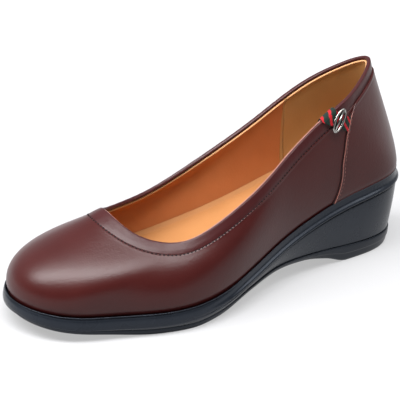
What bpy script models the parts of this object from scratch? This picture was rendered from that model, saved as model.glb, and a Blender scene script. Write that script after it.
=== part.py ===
# Wedge pump, left shoe. Metres, +Z up, toe toward -Y, outer (lateral) side toward +X.
import math
import bpy
import bmesh
import numpy as np

for old in list(bpy.data.objects):
    bpy.data.objects.remove(old, do_unlink=True)

# Driving sizes
LENGTH = 0.2465            # heel back to toe tip over the sole's rand
HALF_BALL = 0.0445         # share 1.0 of every side column
COLLAR_HEIGHT = 0.1103     # back of the rim above the floor
SEAT_HEIGHT = 0.0470       # top of the bead at the heel back
LIFT_HEIGHT = 0.0090       # outsole at the heel back
WEDGE_TAPER = 0.0026       # how far the wedge wall draws in towards its foot
RAND_HEIGHT_HEEL = 0.0072  # bead at the top of the sole, at the heel
RAND_HEIGHT_FORE = 0.0062
RAND_ROUND = 0.0010        # how far the bead bulges over its edges
LIP_WIDTH = 0.0019         # ledge between bead and upper
CUP_DEPTH = 0.0027         # how deep the upper stands in the sole
GROOVE_DEPTH = 0.0012      # recess of the wedge wall under the bead
STEP_OUT = 0.0007          # outsole stands out past the wedge wall
GAP = 0.0003
WALL = 0.0020              # upper with lining
BAND_WIDTH = 0.0078
BAND_WIDTH_BACK = 0.0052
BAND_THICK = 0.0009
BAND_INSIDE = 0.0020
COUNTER_THICK = 0.0009
INSOLE_THICK = 0.0030
RIBBON_THICK = 0.0007
RIBBON_REACH = 0.0159
SLIDE_LENGTH = 0.0165
SLIDE_WIDTH = 0.0090
SLIDE_WIRE = 0.0017
TREAD_DEPTH = 0.0010
TREAD_BAR = 0.0022
TREAD_PITCH = 0.0055
TREAD_BARS = 5

SIDE_COUNT = 36            # ribs on each side of the shoe
RIB_STEPS = 11

# One row per rib, round the shoe from the heel back over the outer side to the toe
# and back over the inner side. Stations are shares of LENGTH from the heel back,
# sides are shares of HALF_BALL, heights of COLLAR_HEIGHT, tapers of WEDGE_TAPER.
# foot station, foot side, rim station, rim side, rim height,
# lean at the rim in degrees, tilt at the foot in degrees, foot handle, rim handle, taper
RIBS = [
    ("back",           0.000, 0.01, 0.096, -0.00, 1.000, 17, -7, 0.34, 0.32, 1.00),
    ("heel outer",     0.046, 0.42, 0.162, 0.30, 0.933, 13, -4, 0.33, 0.33, 1.00),
    ("seat outer",     0.183, 0.60, 0.248, 0.47, 0.858, 13, 4, 0.33, 0.33, 0.92),
    ("waist outer",    0.396, 0.71, 0.379, 0.545, 0.688, 18, 6, 0.33, 0.33, 0.85),
    ("ball outer",     0.570, 0.99, 0.498, 0.705, 0.547, 24, 5, 0.38, 0.28, 0.62),
    ("joint outer",    0.700, 1.025, 0.614, 0.730, 0.426, 35, 4, 0.44, 0.28, 0.62),
    ("toe outer",      0.840, 0.775, 0.699, 0.600, 0.388, 53, 7, 0.40, 0.33, 0.62),
    ("corner outer",   0.948, 0.50, 0.755, 0.343, 0.426, 60, 10, 0.37, 0.35, 0.69),
    ("tip",            1.000, -0.20, 0.775, -0.15, 0.479, 64, 9, 0.35, 0.34, 0.92),
    ("corner inner",   0.958, -0.68, 0.745, -0.425, 0.426, 61, 10, 0.35, 0.36, 0.69),
    ("toe inner",      0.870, -0.922, 0.679, -0.620, 0.394, 57, 6, 0.34, 0.38, 0.62),
    ("joint inner",    0.735, -1.04, 0.585, -0.725, 0.411, 50, 2, 0.33, 0.38, 0.62),
    ("ball inner",     0.590, -0.948, 0.472, -0.695, 0.516, 34, 3, 0.33, 0.34, 0.62),
    ("waist inner",    0.426, -0.77, 0.355, -0.61, 0.658, 18, 6, 0.33, 0.33, 1.00),
    ("seat inner",     0.172, -0.68, 0.219, -0.54, 0.832, 13, 4, 0.33, 0.33, 0.92),
    ("heel inner",     0.046, -0.48, 0.137, -0.39, 0.925, 13, -4, 0.33, 0.33, 1.00),
]

# station, top of the bead as a share of SEAT_HEIGHT,
# top of the outsole and underside as shares of LIFT_HEIGHT
SOLE = [
    ("heel back",     0.000, 1.000, 1.000, 0.000),
    ("seat",          0.101, 0.970, 1.033, 0.000),
    ("breast",        0.193, 0.906, 1.111, 0.000),
    ("behind arch",   0.254, 0.838, 1.222, 0.533),
    ("arch",          0.325, 0.732, 1.333, 0.956),
    ("shank",         0.406, 0.604, 1.422, 1.089),
    ("waist",         0.507, 0.451, 1.133, 0.800),
    ("joint",         0.609, 0.319, 0.556, 0.200),
    ("ball",          0.680, 0.277, 0.356, 0.000),
    ("tread",         0.751, 0.264, 0.356, 0.000),
    ("toe",           0.872, 0.281, 0.600, 0.311),
    ("tip",           1.000, 0.336, 1.044, 0.756),
]

# Front edge of the heel panel: share of the panel's height, share of the ring on each side
COUNTER_EDGE = [
    ("foot",      0.00, 0.1375),
    ("seat",      0.18, 0.1300),
    ("low",       0.29, 0.1260),
    ("middle",    0.48, 0.1200),
    ("high",      0.62, 0.1110),
    ("bend",      0.76, 0.1000),
    ("shoulder",  0.85, 0.0880),
    ("turn",      0.93, 0.0760),
    ("top",       1.00, 0.0580),
]

# Corners of the ribbon on the outer side: share of the ring, share of RIBBON_REACH down from the rim
RIBBON = {
    "rim back": (0.1085, 0.0),
    "rim front": (0.1350, 0.0),
    "end back": (0.0772, 0.65),
    "end front": (0.0925, 1.0),
}
SLIDE_SPOT = (0.1065, 0.36)    # same measures
SLIDE_TOWARD = (0.1205, 0.59)


def material(name, colour, rough, metal=0.0):
    mat = bpy.data.materials.new(name)
    mat.use_nodes = True
    shader = mat.node_tree.nodes["Principled BSDF"]
    shader.inputs["Base Color"].default_value = (*colour, 1.0)
    shader.inputs["Roughness"].default_value = rough
    shader.inputs["Metallic"].default_value = metal
    return mat


LEATHER = material("leather", (0.105, 0.028, 0.027), 0.35)
SOLE_RUBBER = material("sole_rubber", (0.026, 0.030, 0.044), 0.4)
TREAD_RUBBER = material("tread_rubber", (0.018, 0.020, 0.028), 0.6)
LINING = material("lining_leather", (0.55, 0.26, 0.09), 0.6)
WEB = material("ribbon_web", (0.012, 0.05, 0.035), 0.8)
STEEL = material("polished_metal", (0.75, 0.75, 0.76), 0.2, 1.0)


def closed_spline(knots, values, period):
    """Periodic cubic through values (rows x columns)."""
    n = len(knots)
    step = np.diff(np.append(knots, knots[0] + period))
    a = np.zeros((n, n))
    b = np.zeros((n, values.shape[1]))
    for i in range(n):
        before, after = step[i - 1], step[i]
        a[i, i - 1] += before
        a[i, i] += 2 * (before + after)
        a[i, (i + 1) % n] += after
        b[i] = 6 * ((values[(i + 1) % n] - values[i]) / after - (values[i] - values[i - 1]) / before)
    bend = np.linalg.solve(a, b)

    def at(u):
        u = np.mod(np.asarray(u, float), period)
        i = np.clip(np.searchsorted(knots, u, side="right") - 1, 0, n - 1)
        j = (i + 1) % n
        h = step[i][:, None]
        r = (u - knots[i])[:, None]
        q = h - r
        return (bend[i] * q**3 + bend[j] * r**3) / (6 * h) \
            + (values[i] / h - bend[i] * h / 6) * q + (values[j] / h - bend[j] * h / 6) * r
    return at


def smooth_line(xs, ys):
    """Cubic through the rows that never overshoots a row."""
    xs, ys = np.array(xs, float), np.array(ys, float)
    h = np.diff(xs)
    d = np.diff(ys) / h
    m = np.zeros(len(xs))
    for i in range(1, len(xs) - 1):
        if d[i - 1] * d[i] > 0:
            w1, w2 = 2 * h[i] + h[i - 1], h[i] + 2 * h[i - 1]
            m[i] = (w1 + w2) / (w1 / d[i - 1] + w2 / d[i])
    m[0], m[-1] = d[0], d[-1]

    def at(x):
        x = np.clip(np.asarray(x, float), xs[0], xs[-1])
        i = np.clip(np.searchsorted(xs, x, side="right") - 1, 0, len(h) - 1)
        t = (x - xs[i]) / h[i]
        return ys[i] * (1 + 2 * t) * (1 - t)**2 + h[i] * m[i] * t * (1 - t)**2 \
            + ys[i + 1] * t * t * (3 - 2 * t) + h[i] * m[i + 1] * t * t * (t - 1)
    return at


def station(y):
    return np.clip((LENGTH / 2 - np.asarray(y)) / LENGTH, 0, 1)


TABLE = np.array([row[1:] for row in RIBS], float)
FOOT = np.c_[TABLE[:, 1] * HALF_BALL, LENGTH / 2 - TABLE[:, 0] * LENGTH]
CHORD = np.linalg.norm(np.roll(FOOT, -1, axis=0) - FOOT, axis=1)
KNOTS = np.append(0, np.cumsum(CHORD)[:-1]) / CHORD.sum()
COLUMNS = np.c_[FOOT, TABLE[:, 3] * HALF_BALL, LENGTH / 2 - TABLE[:, 2] * LENGTH,
                TABLE[:, 4] * COLLAR_HEIGHT, TABLE[:, 5:9], TABLE[:, 9] * WEDGE_TAPER]
ring_columns = closed_spline(KNOTS, COLUMNS, 1.0)
bead_top = smooth_line([r[1] for r in SOLE], [r[2] * SEAT_HEIGHT for r in SOLE])
outsole_top = smooth_line([r[1] for r in SOLE], [r[3] * LIFT_HEIGHT for r in SOLE])
underside = smooth_line([r[1] for r in SOLE], [r[4] * LIFT_HEIGHT for r in SOLE])


def ring_parameters():
    """Ring positions paired by station: the outer side up to the toe, then the inner side back."""
    fine = np.arange(4000) / 4000
    y = ring_columns(fine)[:, 1]
    back, tip = y.argmax(), y.argmin()
    wanted = np.cos(np.pi * np.arange(SIDE_COUNT + 1) / SIDE_COUNT)
    wanted = y.min() + (y.max() - y.min()) * (wanted + 1) / 2
    start = fine[back] - (1 if fine[back] > 0.5 else 0)
    outer_u = np.linspace(start, fine[tip], 3000)
    inner_u = np.linspace(fine[tip], start + 1, 3000)
    outer = np.interp(-wanted, -ring_columns(outer_u)[:, 1], outer_u)
    inner = np.interp(wanted[::-1], ring_columns(inner_u)[:, 1], inner_u)
    return np.append(outer, inner[1:-1])


RING = ring_parameters()
COUNT = len(RING)


def flat_inward(curve, u, columns):
    """Unit vector in plan that points into the ring."""
    e = 1e-4
    tangent = curve(u + e)[:, columns] - curve(u - e)[:, columns]
    tangent /= np.linalg.norm(tangent, axis=1)[:, None]
    return np.c_[tangent[:, 1], -tangent[:, 0]]


def inward_sign():
    u = RING[SIDE_COUNT // 2:SIDE_COUNT // 2 + 1]
    return -1.0 if flat_inward(ring_columns, u, [0, 1])[0, 0] > 0 else 1.0


INWARD = inward_sign()


def foot_ring(u, inset):
    u = np.asarray(u, float)
    p = ring_columns(u)[:, :2]
    return p + INWARD * flat_inward(ring_columns, u, [0, 1]) * np.asarray(inset).reshape(-1, 1)


UPPER_INSET = LIP_WIDTH + GAP


def rib_controls(u):
    col = ring_columns(u)
    foot = foot_ring(u, UPPER_INSET)
    p0 = np.c_[foot, bead_top(station(foot[:, 1])) + 0.0002]
    p3 = col[:, 2:5].copy()
    span = np.linalg.norm(p3 - p0, axis=1)[:, None]
    n0 = INWARD * flat_inward(ring_columns, u, [0, 1])
    n3 = INWARD * flat_inward(ring_columns, u, [2, 3])
    lean, tilt = np.radians(col[:, 5])[:, None], np.radians(col[:, 6])[:, None]
    up = np.array([[0, 0, 1.0]])
    p1 = p0 + span * col[:, 7:8] * (np.cos(tilt) * up - np.sin(tilt) * np.c_[n0, np.zeros(len(u))])
    p2 = p3 - span * col[:, 8:9] * (np.cos(lean) * up + np.sin(lean) * np.c_[n3, np.zeros(len(u))])
    return p0, p1, p2, p3


def bezier(controls, t):
    p0, p1, p2, p3 = controls
    t = t[:, None]
    return p0 * (1 - t)**3 + 3 * p1 * t * (1 - t)**2 + 3 * p2 * t * t * (1 - t) + p3 * t**3


def rib_lengths(controls):
    t = np.linspace(0, 1, 49)
    pts = np.stack([bezier(controls, np.full(len(controls[0]), k)) for k in t], axis=1)
    run = np.cumsum(np.linalg.norm(np.diff(pts, axis=1), axis=2), axis=1)
    return t, np.concatenate([np.zeros((len(run), 1)), run], axis=1)


def on_upper(u, share):
    """Point on the outer face: ring position, share of the wall length from foot to rim."""
    u, share = np.asarray(u, float), np.asarray(share, float)
    controls = rib_controls(u)
    t, run = rib_lengths(controls)
    want = np.clip(share, 0, 1) * run[:, -1]
    at = np.array([np.interp(w, r, t) for w, r in zip(want, run)])
    out = bezier(controls, at)
    rim_way = controls[3] - controls[2]
    rim_way /= np.linalg.norm(rim_way, axis=1)[:, None]
    over = np.maximum(share - 1, 0) * run[:, -1]
    return out + rim_way * over[:, None]


def wall_length(u):
    return rib_lengths(rib_controls(np.asarray(u, float)))[1][:, -1]


def skin(u, share, lift):
    """The upper's outer face moved out by lift along its own normal."""
    u, share = np.asarray(u, float), np.asarray(share, float)
    du, dv = 2e-3, 2e-2
    low, high = np.clip(share - dv, 0, 1 - dv), np.clip(share + dv, dv, 1)
    along = on_upper(u + du, share) - on_upper(u - du, share)
    rise = on_upper(u, high) - on_upper(u, low)
    normal = np.cross(along, rise)
    normal /= np.linalg.norm(normal, axis=1)[:, None]
    probe = ring_columns(u)[:, :2]
    centre = np.c_[np.zeros(len(u)), np.clip(probe[:, 1], -LENGTH * 0.22, LENGTH * 0.36)]
    if ((probe - centre) * normal[:, :2]).sum() < 0:
        normal = -normal
    return on_upper(u, share) + normal * np.asarray(lift).reshape(-1, 1)


def body(name, points, faces, mat):
    mesh = bpy.data.meshes.new(name)
    mesh.from_pydata([tuple(p) for p in points], [], faces)
    obj = bpy.data.objects.new(name, mesh)
    bpy.context.collection.objects.link(obj)
    work = bmesh.new()
    work.from_mesh(mesh)
    bmesh.ops.remove_doubles(work, verts=work.verts, dist=1e-6)
    bmesh.ops.recalc_face_normals(work, faces=work.faces)
    work.to_mesh(mesh)
    work.free()
    mesh.materials.append(mat)
    for poly in mesh.polygons:
        poly.use_smooth = True
    return obj


def wrapped(name, rings, mat):
    """Closed both ways: rings[k][j], k round the shoe, j round the section."""
    n, m = rings.shape[:2]
    faces = [(k * m + j, ((k + 1) % n) * m + j, ((k + 1) % n) * m + (j + 1) % m, k * m + (j + 1) % m)
             for k in range(n) for j in range(m)]
    return body(name, rings.reshape(-1, 3), faces, mat)


def capped(name, rings, mat):
    """Rings[j][k] stacked, both ends closed by straight strips across the shoe."""
    m, n = rings.shape[:2]
    faces = [(j * n + k, j * n + (k + 1) % n, (j + 1) * n + (k + 1) % n, (j + 1) * n + k)
             for j in range(m - 1) for k in range(n)]
    for base in (0, (m - 1) * n):
        half = n // 2
        faces.append((base, base + 1, base + n - 1))
        faces.append((base + half, base + half + 1, base + half - 1))
        faces += [(base + k, base + k + 1, base + n - k - 1, base + n - k) for k in range(1, half - 1)]
    return body(name, rings.reshape(-1, 3), faces, mat)


def slab(name, outer, inner, mat):
    """Two matching grids joined round their border."""
    a, b = outer.shape[:2]
    size = a * b
    faces = []
    for i in range(a - 1):
        for j in range(b - 1):
            quad = (i * b + j, (i + 1) * b + j, (i + 1) * b + j + 1, i * b + j + 1)
            faces.append(quad)
            faces.append(tuple(size + q for q in reversed(quad)))
    border = [(i, 0) for i in range(a)] + [(a - 1, j) for j in range(1, b)]
    border += [(i, b - 1) for i in range(a - 2, -1, -1)] + [(0, j) for j in range(b - 2, 0, -1)]
    for (i, j), (p, q) in zip(border, border[1:] + border[:1]):
        faces.append((i * b + j, p * b + q, size + p * b + q, size + i * b + j))
    return body(name, np.concatenate([outer.reshape(-1, 3), inner.reshape(-1, 3)]), faces, mat)


def level_ring(inset, height, drop=0.0):
    """Outline ring moved in by inset, on a height line of the station."""
    plan = foot_ring(RING, inset)
    return np.c_[plan, height(station(plan[:, 1])) + drop]


def fade(x, low, high):
    t = np.clip((x - low) / (high - low), 0, 1)
    return t * t * (3 - 2 * t)


RING_STATION = station(ring_columns(RING)[:, 1])
WEDGE = 1 - fade(RING_STATION, 0.50, 0.68)
RAND_HEIGHT = RAND_HEIGHT_FORE + (RAND_HEIGHT_HEEL - RAND_HEIGHT_FORE) * (1 - fade(RING_STATION, 0.1, 0.6))
TAPER = ring_columns(RING)[:, 9]


def midsole():
    groove = GROOVE_DEPTH * (0.25 + 0.75 * WEDGE)
    top = level_ring(0, bead_top)[:, 2]
    lower = level_ring(groove + TAPER, outsole_top)[:, 2]
    under = np.maximum(top - RAND_HEIGHT, lower + 0.0012)
    rows = [
        level_ring(LIP_WIDTH, bead_top, -CUP_DEPTH),
        level_ring(LIP_WIDTH, bead_top),
        level_ring(RAND_ROUND * 1.1, bead_top),
    ]
    for share, inset in ((0.10, 0.75), (0.35, 0.42), (0.60, 0.10), (0.78, 0.0), (0.93, 0.15)):
        ring = level_ring(RAND_ROUND * inset, bead_top)
        ring[:, 2] = top + (under - top) * share
        rows.append(ring)
    ring = level_ring(RAND_ROUND * 0.6, bead_top)
    ring[:, 2] = under
    rows.append(ring)
    ring = level_ring(groove, bead_top)
    ring[:, 2] = np.maximum(under - 0.0003, lower + 0.0009)
    rows.append(ring)
    for share in (0.25, 0.5, 0.75):
        ring = level_ring(groove + TAPER * share**1.3, bead_top)
        ring[:, 2] = (under - 0.0003) + (lower - under + 0.0003) * share
        ring[:, 2] = np.maximum(ring[:, 2], lower + 0.0009 * (1 - share))
        rows.append(ring)
    rows.append(level_ring(groove + TAPER, outsole_top))
    return capped("midsole", np.array(rows), SOLE_RUBBER)


def outsole():
    groove = GROOVE_DEPTH * (0.25 + 0.75 * WEDGE)
    side = groove + TAPER - STEP_OUT
    top = level_ring(side, outsole_top, -GAP)
    low = level_ring(side + TAPER * 0.25, underside)
    rows = [level_ring(side + 0.0003, outsole_top, -GAP)]
    for share, extra in ((0.08, 0.0), (0.45, 0.10), (0.86, 0.22)):
        ring = level_ring(side + TAPER * extra, underside)
        ring[:, 2] = top[:, 2] + (low[:, 2] - top[:, 2]) * share
        rows.append(ring)
    rows.append(level_ring(side + TAPER * 0.25 + 0.0007, underside))
    return capped("outsole", np.array(rows), TREAD_RUBBER)


def tread_cuts(sole):
    """Straight bars cut into the flat of the forefoot and of the heel."""
    for name, middle, bars, width in (("forefoot_cut", 0.705, TREAD_BARS, 0.056),
                                      ("heel_cut", 0.120, 4, 0.030)):
        bpy.ops.mesh.primitive_cube_add(size=1)
        cut = bpy.context.object
        cut.name = name
        cut.dimensions = (width, TREAD_BAR, TREAD_DEPTH * 2)
        first = LENGTH / 2 - middle * LENGTH + TREAD_PITCH * (bars - 1) / 2
        cut.location = (0.0 if middle > 0.5 else -0.002, first, 0)
        bpy.ops.object.transform_apply(location=False, rotation=False, scale=True)
        row = cut.modifiers.new("bars", "ARRAY")
        row.count = bars
        row.use_relative_offset = False
        row.use_constant_offset = True
        row.constant_offset_displace = (0, -TREAD_PITCH, 0)
        cut.hide_render = True
        cut.display_type = "WIRE"
        mod = sole.modifiers.new(name, "BOOLEAN")
        mod.operation = "DIFFERENCE"
        mod.solver = "EXACT"
        mod.object = cut


def upper():
    root = foot_ring(RING, UPPER_INSET)
    outer_low = np.c_[root, bead_top(station(root[:, 1])) - CUP_DEPTH + GAP]
    shares = np.linspace(0, 1, RIB_STEPS + 1)
    outer = [skin(RING, np.full(COUNT, s), 0.0) for s in shares]
    inner = [skin(RING, np.full(COUNT, s), -WALL) for s in shares]
    inside = foot_ring(RING, UPPER_INSET + WALL)
    inner_low = np.c_[inside, outer_low[:, 2]]
    loop = [outer_low] + outer + inner[::-1] + [inner_low]
    return wrapped("upper", np.stack(loop, axis=1), LEATHER)


def band_width(u):
    """Narrow round the back of the heel, full width from the ribbon on."""
    away = np.minimum(np.mod(u - RING[0], 1), np.mod(RING[0] - u, 1))
    return BAND_WIDTH_BACK + (BAND_WIDTH - BAND_WIDTH_BACK) * fade(away, 0.045, 0.110)


OVER = GAP + BAND_THICK
# Over the rim from outside to inside: distance below the rim, lift, and the way out of the fold
FOLD = [
    (0.0010, OVER, 0, 1),
    (-OVER * 0.75, GAP + BAND_THICK * 0.2, -0.7, 0.7),
    (-OVER, -WALL * 0.5, -1, 0),
    (-OVER * 0.75, -WALL - GAP - BAND_THICK * 0.2, -0.7, -0.7),
    (0.0006, -WALL - OVER, 0, -1),
]


def topline_band():
    length = wall_length(RING)
    width = band_width(RING)
    low = np.ones(COUNT)
    profile = [
        (width, GAP),
        (width, GAP + BAND_THICK * 0.7),
        (width - 0.0007, OVER),
    ]
    profile += [(low * d, lift) for d, lift, _, _ in FOLD]
    profile += [
        (low * BAND_INSIDE, -WALL - OVER * 0.9),
        (low * BAND_INSIDE, -WALL - GAP),
        (low * -GAP, -WALL - GAP),
        (low * -GAP, GAP),
    ]
    loop = [skin(RING, 1 - d / length, lift) for d, lift in profile]
    return wrapped("topline_band", np.stack(loop, axis=1), LEATHER)


def counter():
    reach = smooth_line([r[1] for r in COUNTER_EDGE], [r[2] for r in COUNTER_EDGE])
    levels = np.append(np.linspace(0.012, 0.70, 7), [0.77, 0.83, 0.88, 0.93, 0.97, 1.0])
    cross = np.linspace(-1, 1, 27)
    cross = np.sign(cross) * np.abs(cross)**1.3
    u = (RING[0] + cross[None, :] * reach(levels)[:, None]).ravel()
    level = np.repeat(levels, len(cross))
    share = level * (1 - (band_width(u) + GAP * 1.5) / wall_length(u))
    shape = (len(levels), len(cross), 3)
    outer = skin(u, share, OVER).reshape(shape)
    inner = skin(u, share, GAP).reshape(shape)
    return slab("counter", outer, inner, LEATHER)


def ribbon_points(away):
    """Grid of the ribbon, away from what lies under it: from the counter over the rim to the lining."""
    across = np.linspace(0, 1, 6)
    back = np.array([RIBBON["end back"], RIBBON["rim back"]])
    front = np.array([RIBBON["end front"], RIBBON["rim front"]])
    rows = []
    for run in np.linspace(0, 0.90, 9):
        edge = [k[0] + (k[1] - k[0]) * run for k in (back, front)]
        u = edge[0][0] + (edge[1][0] - edge[0][0]) * across
        down = (edge[0][1] + (edge[1][1] - edge[0][1]) * across) * RIBBON_REACH
        width = band_width(u)
        on_band = 1 - fade(down, width + 0.0002, width + 0.0022)
        rows.append((u, down, GAP * 1.2 + BAND_THICK * on_band + GAP * on_band + away))
    u = back[1][0] + (front[1][0] - back[1][0]) * across
    for down, lift, way_down, way_out in FOLD + [(BAND_INSIDE + 0.0020, -WALL - OVER, 0, -1)]:
        step = GAP + away
        rows.append((u, np.full(6, down + step * way_down), np.full(6, lift + step * way_out)))
    return np.array([skin(u, 1 - down / wall_length(u), lift) for u, down, lift in rows])


def ribbon_tab():
    return slab("ribbon_tab", ribbon_points(RIBBON_THICK), ribbon_points(0.0), WEB)


def slide():
    """Plain oval slide with a bar along its middle, lying across the ribbon."""
    spot, toward = [
        skin([u], 1 - down * RIBBON_REACH / wall_length([u]), 0.0)[0]
        for u, down in (SLIDE_SPOT, SLIDE_TOWARD)]
    u, share = [SLIDE_SPOT[0]], 1 - SLIDE_SPOT[1] * RIBBON_REACH / wall_length([SLIDE_SPOT[0]])
    lift = OVER + GAP * 2 + RIBBON_THICK + SLIDE_WIRE * 0.5
    centre = skin(u, share, lift)[0]
    out = (centre - spot) / np.linalg.norm(centre - spot)
    long_way = toward - spot
    long_way -= out * long_way.dot(out)
    long_way /= np.linalg.norm(long_way)
    short_way = np.cross(out, long_way)
    half_long, half_short = (SLIDE_LENGTH - SLIDE_WIRE) / 2, (SLIDE_WIDTH - SLIDE_WIRE) / 2
    rings = []
    for a in np.arange(32) * math.tau / 32:
        way = np.array([math.cos(a) / half_long, math.sin(a) / half_short])
        way /= np.linalg.norm(way)
        ring = []
        for b in np.arange(10) * math.tau / 10:
            r = SLIDE_WIRE / 2
            plan = np.array([math.cos(a) * half_long, math.sin(a) * half_short]) + way * r * math.cos(b)
            ring.append(centre + long_way * plan[0] + short_way * plan[1] + out * r * 0.8 * math.sin(b))
        rings.append(ring)
    frame = wrapped("ribbon_slide", np.array(rings), STEEL)
    ends = [-half_long, -half_long * 0.3, half_long * 0.3, half_long]
    bar = []
    for x in ends:
        bar.append([centre + long_way * x + short_way * SLIDE_WIRE * 0.45 * math.cos(b)
                    + out * SLIDE_WIRE * 0.36 * math.sin(b) for b in np.arange(10) * math.tau / 10])
    pin = capped("slide_bar", np.array(bar), STEEL)
    join = frame.modifiers.new("bar", "BOOLEAN")
    join.operation = "UNION"
    join.solver = "EXACT"
    join.object = pin
    pin.hide_render = True
    pin.display_type = "WIRE"
    return frame


def insole():
    inset = UPPER_INSET + WALL + GAP
    rows = [
        level_ring(inset, bead_top, -CUP_DEPTH + GAP),
        level_ring(inset, bead_top, -CUP_DEPTH + GAP + INSOLE_THICK - 0.0008),
        level_ring(inset + 0.0010, bead_top, -CUP_DEPTH + GAP + INSOLE_THICK),
        level_ring(inset + 0.0080, bead_top, -CUP_DEPTH + GAP + INSOLE_THICK - 0.0004),
    ]
    return capped("insole", np.array(rows), LINING)


midsole()
sole = outsole()
tread_cuts(sole)
upper()
topline_band()
counter()
ribbon_tab()
slide()
insole()
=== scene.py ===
# %% [markdown]
# # A wedge pump, from its last to its stitches
#
# The shoe is a women's leather court shoe on a one-piece wedge sole. The packed
# model already has its true outline, so this lesson lays the finished surfaces
# over that model: leather pieces with real thickness and turned edges, a folded
# topline, stitches, a moulded sole with its tread, a ribbon and a metal slide.
#
# First the imported model is loaded; at the end the box of what is shown is printed.

# %% Load the imported model
import math

import bpy
import numpy as np
from mathutils import Matrix, Vector


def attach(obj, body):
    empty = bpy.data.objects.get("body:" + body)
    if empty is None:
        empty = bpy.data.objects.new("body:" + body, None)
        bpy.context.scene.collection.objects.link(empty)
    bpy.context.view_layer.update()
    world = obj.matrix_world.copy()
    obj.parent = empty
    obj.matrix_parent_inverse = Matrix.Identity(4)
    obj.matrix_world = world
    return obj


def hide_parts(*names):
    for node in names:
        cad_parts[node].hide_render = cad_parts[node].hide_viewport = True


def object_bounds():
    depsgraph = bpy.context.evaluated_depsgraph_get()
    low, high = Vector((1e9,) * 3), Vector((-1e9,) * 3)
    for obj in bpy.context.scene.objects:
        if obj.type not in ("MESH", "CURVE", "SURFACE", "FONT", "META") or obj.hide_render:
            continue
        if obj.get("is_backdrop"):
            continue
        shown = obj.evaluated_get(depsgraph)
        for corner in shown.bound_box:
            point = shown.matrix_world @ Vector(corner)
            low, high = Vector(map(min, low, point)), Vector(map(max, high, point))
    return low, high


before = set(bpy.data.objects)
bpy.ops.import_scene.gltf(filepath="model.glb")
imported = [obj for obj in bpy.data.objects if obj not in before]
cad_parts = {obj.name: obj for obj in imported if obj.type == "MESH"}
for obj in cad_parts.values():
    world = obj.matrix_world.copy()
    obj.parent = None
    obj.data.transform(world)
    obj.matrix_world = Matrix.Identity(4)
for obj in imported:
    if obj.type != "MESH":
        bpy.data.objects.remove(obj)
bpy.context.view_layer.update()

MM = 0.001
print("packed model:", sorted(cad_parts))

# %% [markdown]
# ## The last
#
# A shoemaker pulls leather over a last, a solid foot form. Here the last is a
# function. Ribs stand all round the sole like the staves of a boat, and each one
# is a curve from the feather line, where leather meets sole, up to the rim.
# A smooth closed curve runs through the ribs, so any point on the upper is found
# by two numbers: how far round the shoe, and how far up the rib.

# %% Sizes of the shoe and the ribs of its last
LENGTH = 0.2465
HALF_BALL = 0.0445
COLLAR_HEIGHT = 0.1103
SEAT_HEIGHT = 0.0470
LIFT_HEIGHT = 0.0090
WEDGE_TAPER = 0.0026
CUP_DEPTH = 0.0027
WALL = 0.0020
UPPER_INSET = 0.0022
CLEAR = 0.0002         # a hair's breadth between pieces that meet
SIDES = ((1, "outer"), (-1, "inner"))

# foot station, foot side, rim station, rim side, rim height, lean, tilt, foot handle, rim handle, taper
RIBS = [
    ("back",           0.000, 0.01, 0.096, -0.00, 1.000, 17, -7, 0.34, 0.32, 1.00),
    ("heel outer",     0.046, 0.42, 0.162, 0.30, 0.933, 13, -4, 0.33, 0.33, 1.00),
    ("seat outer",     0.183, 0.60, 0.248, 0.47, 0.858, 13, 4, 0.33, 0.33, 0.92),
    ("waist outer",    0.396, 0.71, 0.379, 0.545, 0.688, 18, 6, 0.33, 0.33, 0.85),
    ("ball outer",     0.570, 0.99, 0.498, 0.705, 0.547, 24, 5, 0.38, 0.28, 0.62),
    ("joint outer",    0.700, 1.025, 0.614, 0.730, 0.426, 35, 4, 0.44, 0.28, 0.62),
    ("toe outer",      0.840, 0.775, 0.699, 0.600, 0.388, 53, 7, 0.40, 0.33, 0.62),
    ("corner outer",   0.948, 0.50, 0.755, 0.343, 0.426, 60, 10, 0.37, 0.35, 0.69),
    ("tip",            1.000, -0.20, 0.775, -0.15, 0.479, 64, 9, 0.35, 0.34, 0.92),
    ("corner inner",   0.958, -0.68, 0.745, -0.425, 0.426, 61, 10, 0.35, 0.36, 0.69),
    ("toe inner",      0.870, -0.922, 0.679, -0.620, 0.394, 57, 6, 0.34, 0.38, 0.62),
    ("joint inner",    0.735, -1.04, 0.585, -0.725, 0.411, 50, 2, 0.33, 0.38, 0.62),
    ("ball inner",     0.590, -0.948, 0.472, -0.695, 0.516, 34, 3, 0.33, 0.34, 0.62),
    ("waist inner",    0.426, -0.77, 0.355, -0.61, 0.658, 18, 6, 0.33, 0.33, 1.00),
    ("seat inner",     0.172, -0.68, 0.219, -0.54, 0.832, 13, 4, 0.33, 0.33, 0.92),
    ("heel inner",     0.046, -0.48, 0.137, -0.39, 0.925, 13, -4, 0.33, 0.33, 1.00),
]

# station, top of the sole's bead, top of the heel lift, underside
SOLE = [
    ("heel back",   0.000, 1.000, 1.000, 0.000),
    ("seat",        0.101, 0.970, 1.033, 0.000),
    ("breast",      0.193, 0.906, 1.111, 0.000),
    ("behind arch", 0.254, 0.838, 1.222, 0.533),
    ("arch",        0.325, 0.732, 1.333, 0.956),
    ("shank",       0.406, 0.604, 1.422, 1.089),
    ("waist",       0.507, 0.451, 1.133, 0.800),
    ("joint",       0.609, 0.319, 0.556, 0.200),
    ("ball",        0.680, 0.277, 0.356, 0.000),
    ("tread",       0.751, 0.264, 0.356, 0.000),
    ("toe",         0.872, 0.281, 0.600, 0.311),
    ("tip",         1.000, 0.336, 1.044, 0.756),
]


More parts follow.
